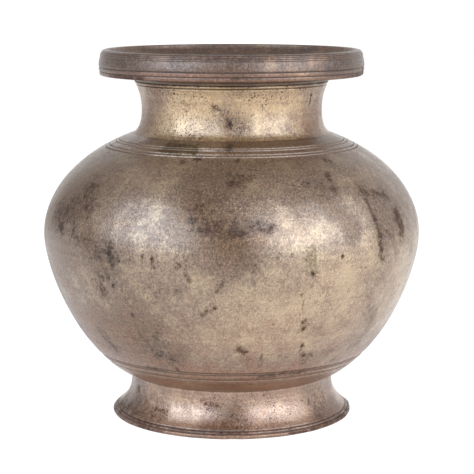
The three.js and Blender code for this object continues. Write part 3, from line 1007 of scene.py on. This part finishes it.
rim_marks = (
    ("film", -14, 159, 8, 159, 4.0, 0.25),
    ("clean", -36, 160, -12, 161, 6.0, 0.1),
    ("clean", 10, 160, 38, 160, 6.0, 0.12),
    ("rosy", -180, 154.6, 180, 154.6, 2.2, 0.3),
    ("purple", -46, 163.6, -36, 163.4, 1.4, 0.35),
    ("purple", -24, 163.4, 20, 163.4, 1.6, 0.55),
    ("purple", 55, 154, 84, 155.5, 1.8, 0.7),
    ("purple", -64, 154, -40, 154.5, 1.6, 0.9),
    ("green", 0, 155.4, 12, 155.4, 1.0, 0.6),
    # This bright mark and those at 100 to 214 degrees on the back of the lip are painted reflections that
    # light up the two ends of the mouth
    ("bright", -136, 163, -100, 163, 4.0, 0.75),
    # These two paint the lamps' highlights on the lip, over rubbed metal
    ("bright", -33, 163, -28, 163, 1.2, 0.6),
    ("bright", 33, 161, 43, 163, 1.8, 0.9),
    ("bright", 100, 163, 132, 163, 4.0, 0.8),
    ("bright", 146, 162, 214, 162, 5.0, 0.4),
    ("bright", 15, 157, 27, 160, 2.4, 0.5),
    ("bright", 58, 157, 74, 158, 3.0, 0.3),
    # These two are partly a rubbed ridge between the face's lines and partly a painted highlight on it
    ("bright", -40, 156.6, -4, 156.6, 0.8, 1.1),
    ("bright", 8, 156.6, 32, 156.6, 0.8, 1.0),
    ("bright", 8, 154, 20, 154.5, 1.0, 0.5),
)
rim_dents = (
    (76.5, 157.5, 77.5, 157.2, 1.1, 0.6),
    (80, 155.2, 81, 154.8, 1.1, 0.8),
    (-40, 164.0, -38, 164.0, 0.8, 0.2),
)
# Dark bronze: brown with a purple cast, nearly matt, and brighter where it has been rubbed and where marks
# paint highlights and reflections
dark_bronze = aged_bronze(
    "dark_bronze",
    bright="#8e6b52",
    dull="#5c4334",
    patina="#392820",
    polish=0.4,
    cover=(150, 0.78, 166, 0.72),
    pitting=0.06,
    gloss=0.35,
)
# The funnel is as pale as the lip at its top, and is painted with shade that grows darker and duller
# downwards
funnel_painted_shade = (-0.2, 0.9)
turn(
    "mouth_rim",
    [
        *covered(
            (rim_spigot_radius, rim_spigot_height),
            (rim_spigot_radius, rim_height),
            (neck_top_radius + rim_bead_leg, rim_height),
        ),
        stretch([(neck_top_radius + rim_bead_leg, rim_height), under_edge], dark=(0.2, 0)),
        stretch(rim_edge_curve, pitch=0.3),
        stretch(rim_face, lines=rim_line_distances, depth=0.3),
        stretch(lip_bevel, lines=lip_line_distances, pitch=0.3, width=0.17, depth=0.12),
        stretch([(lip_outer, mouth_height), (lip_inner, mouth_height)], pitch=0.4),
        stretch(lip_inner_curve, pitch=0.3),
        stretch(funnel, dark=funnel_painted_shade),
        *covered((neck_bore_radius, rim_spigot_height), (rim_spigot_radius, rim_spigot_height)),
    ],
    dark_bronze,
    rim_marks,
    rim_dents,
)


# Studio
# A pale matt table under even white surroundings that are dimmer in front, with a soft lamp on each side
# of the camera. The lamps make the two bright patches on the shoulder, the neck and the foot.

table_reach = 4.0
table_corners = [(x * table_reach, y * table_reach, 0) for x, y in ((-1, -1), (1, -1), (1, 1), (-1, 1))]
table = bpy.data.meshes.new("table")
table.from_pydata(table_corners, [], [(0, 1, 2, 3)])
# Pale card: matt, with a glow of its own that keeps it white to the photo's edge
pale_card = bpy.data.materials.new("pale_card")
pale_card.use_nodes = True
card = pale_card.node_tree.nodes["Principled BSDF"].inputs
card["Base Color"].default_value = linear("#959595")
card["Roughness"].default_value = 0.9
card["Emission Color"].default_value = (1, 1, 1, 1)
card["Emission Strength"].default_value = 0.82
table.materials.append(pale_card)
table_top = bpy.data.objects.new("table", table)
bpy.context.scene.collection.objects.link(table_top)

surroundings = bpy.data.worlds.new("white_surroundings")
bpy.context.scene.world = surroundings
surroundings.use_nodes = True
sky = surroundings.node_tree
sky.nodes.clear()
way = add(sky, "TexCoord").outputs["Generated"]
brightest_way = (0.2, 1, -0.45)
front_strength, back_strength = 0.42, 1.22
behind = add(sky, "VectorMath", {0: way, 1: brightest_way}, operation="DOT_PRODUCT").outputs["Value"]
strength = {0: behind, 1: 0.35, 2: 0.95, 3: front_strength, 4: back_strength}
strength = add(sky, "MapRange", strength).outputs[0]
backing = add(sky, "Background", {"Color": (1, 1, 1, 1), "Strength": strength})
add(sky, "OutputWorld", {0: backing.outputs[0]})


def soft_lamp(name, azimuth, elevation, width, height, power, red):
    """A rectangular lamp 1 m from the pot's shoulder, aimed at it. Its size is in metres."""
    aim_height = 0.1
    light = bpy.data.lights.new(name, "AREA")
    light.shape = "RECTANGLE"
    light.size, light.size_y, light.energy = width, height, power
    light.color = (red, (1 + red) / 2, 1)
    lamp = bpy.data.objects.new(name, light)
    turned, raised = math.radians(azimuth), math.radians(elevation)
    lamp.location = (
        math.cos(raised) * math.sin(turned),
        -math.cos(raised) * math.cos(turned),
        aim_height + math.sin(raised),
    )
    lamp.rotation_euler = (math.pi / 2 - raised, 0, turned)
    bpy.context.scene.collection.objects.link(lamp)


soft_lamp("left_lamp", azimuth=-48, elevation=27, width=1.1, height=0.9, power=14.1, red=0.74)
soft_lamp("right_lamp", azimuth=51, elevation=26, width=1.35, height=1.0, power=16.6, red=0.82)


# Camera
# Fitted to the photo: it stands 0.75 m in front of the pot's axis, a little above the mouth, and looks
# down by 9 degrees.

look_down = 8.96
lens = bpy.data.cameras.new("camera")
lens.sensor_width = 36
lens.lens = 126.5
camera = bpy.data.objects.new("camera", lens)
camera.location = (0.0025, -0.7494, 0.198)
camera.rotation_euler = (math.radians(90 - look_down), 0, 0)
bpy.context.scene.collection.objects.link(camera)
bpy.context.scene.camera = camera
bpy.context.scene.view_settings.view_transform = "Standard"
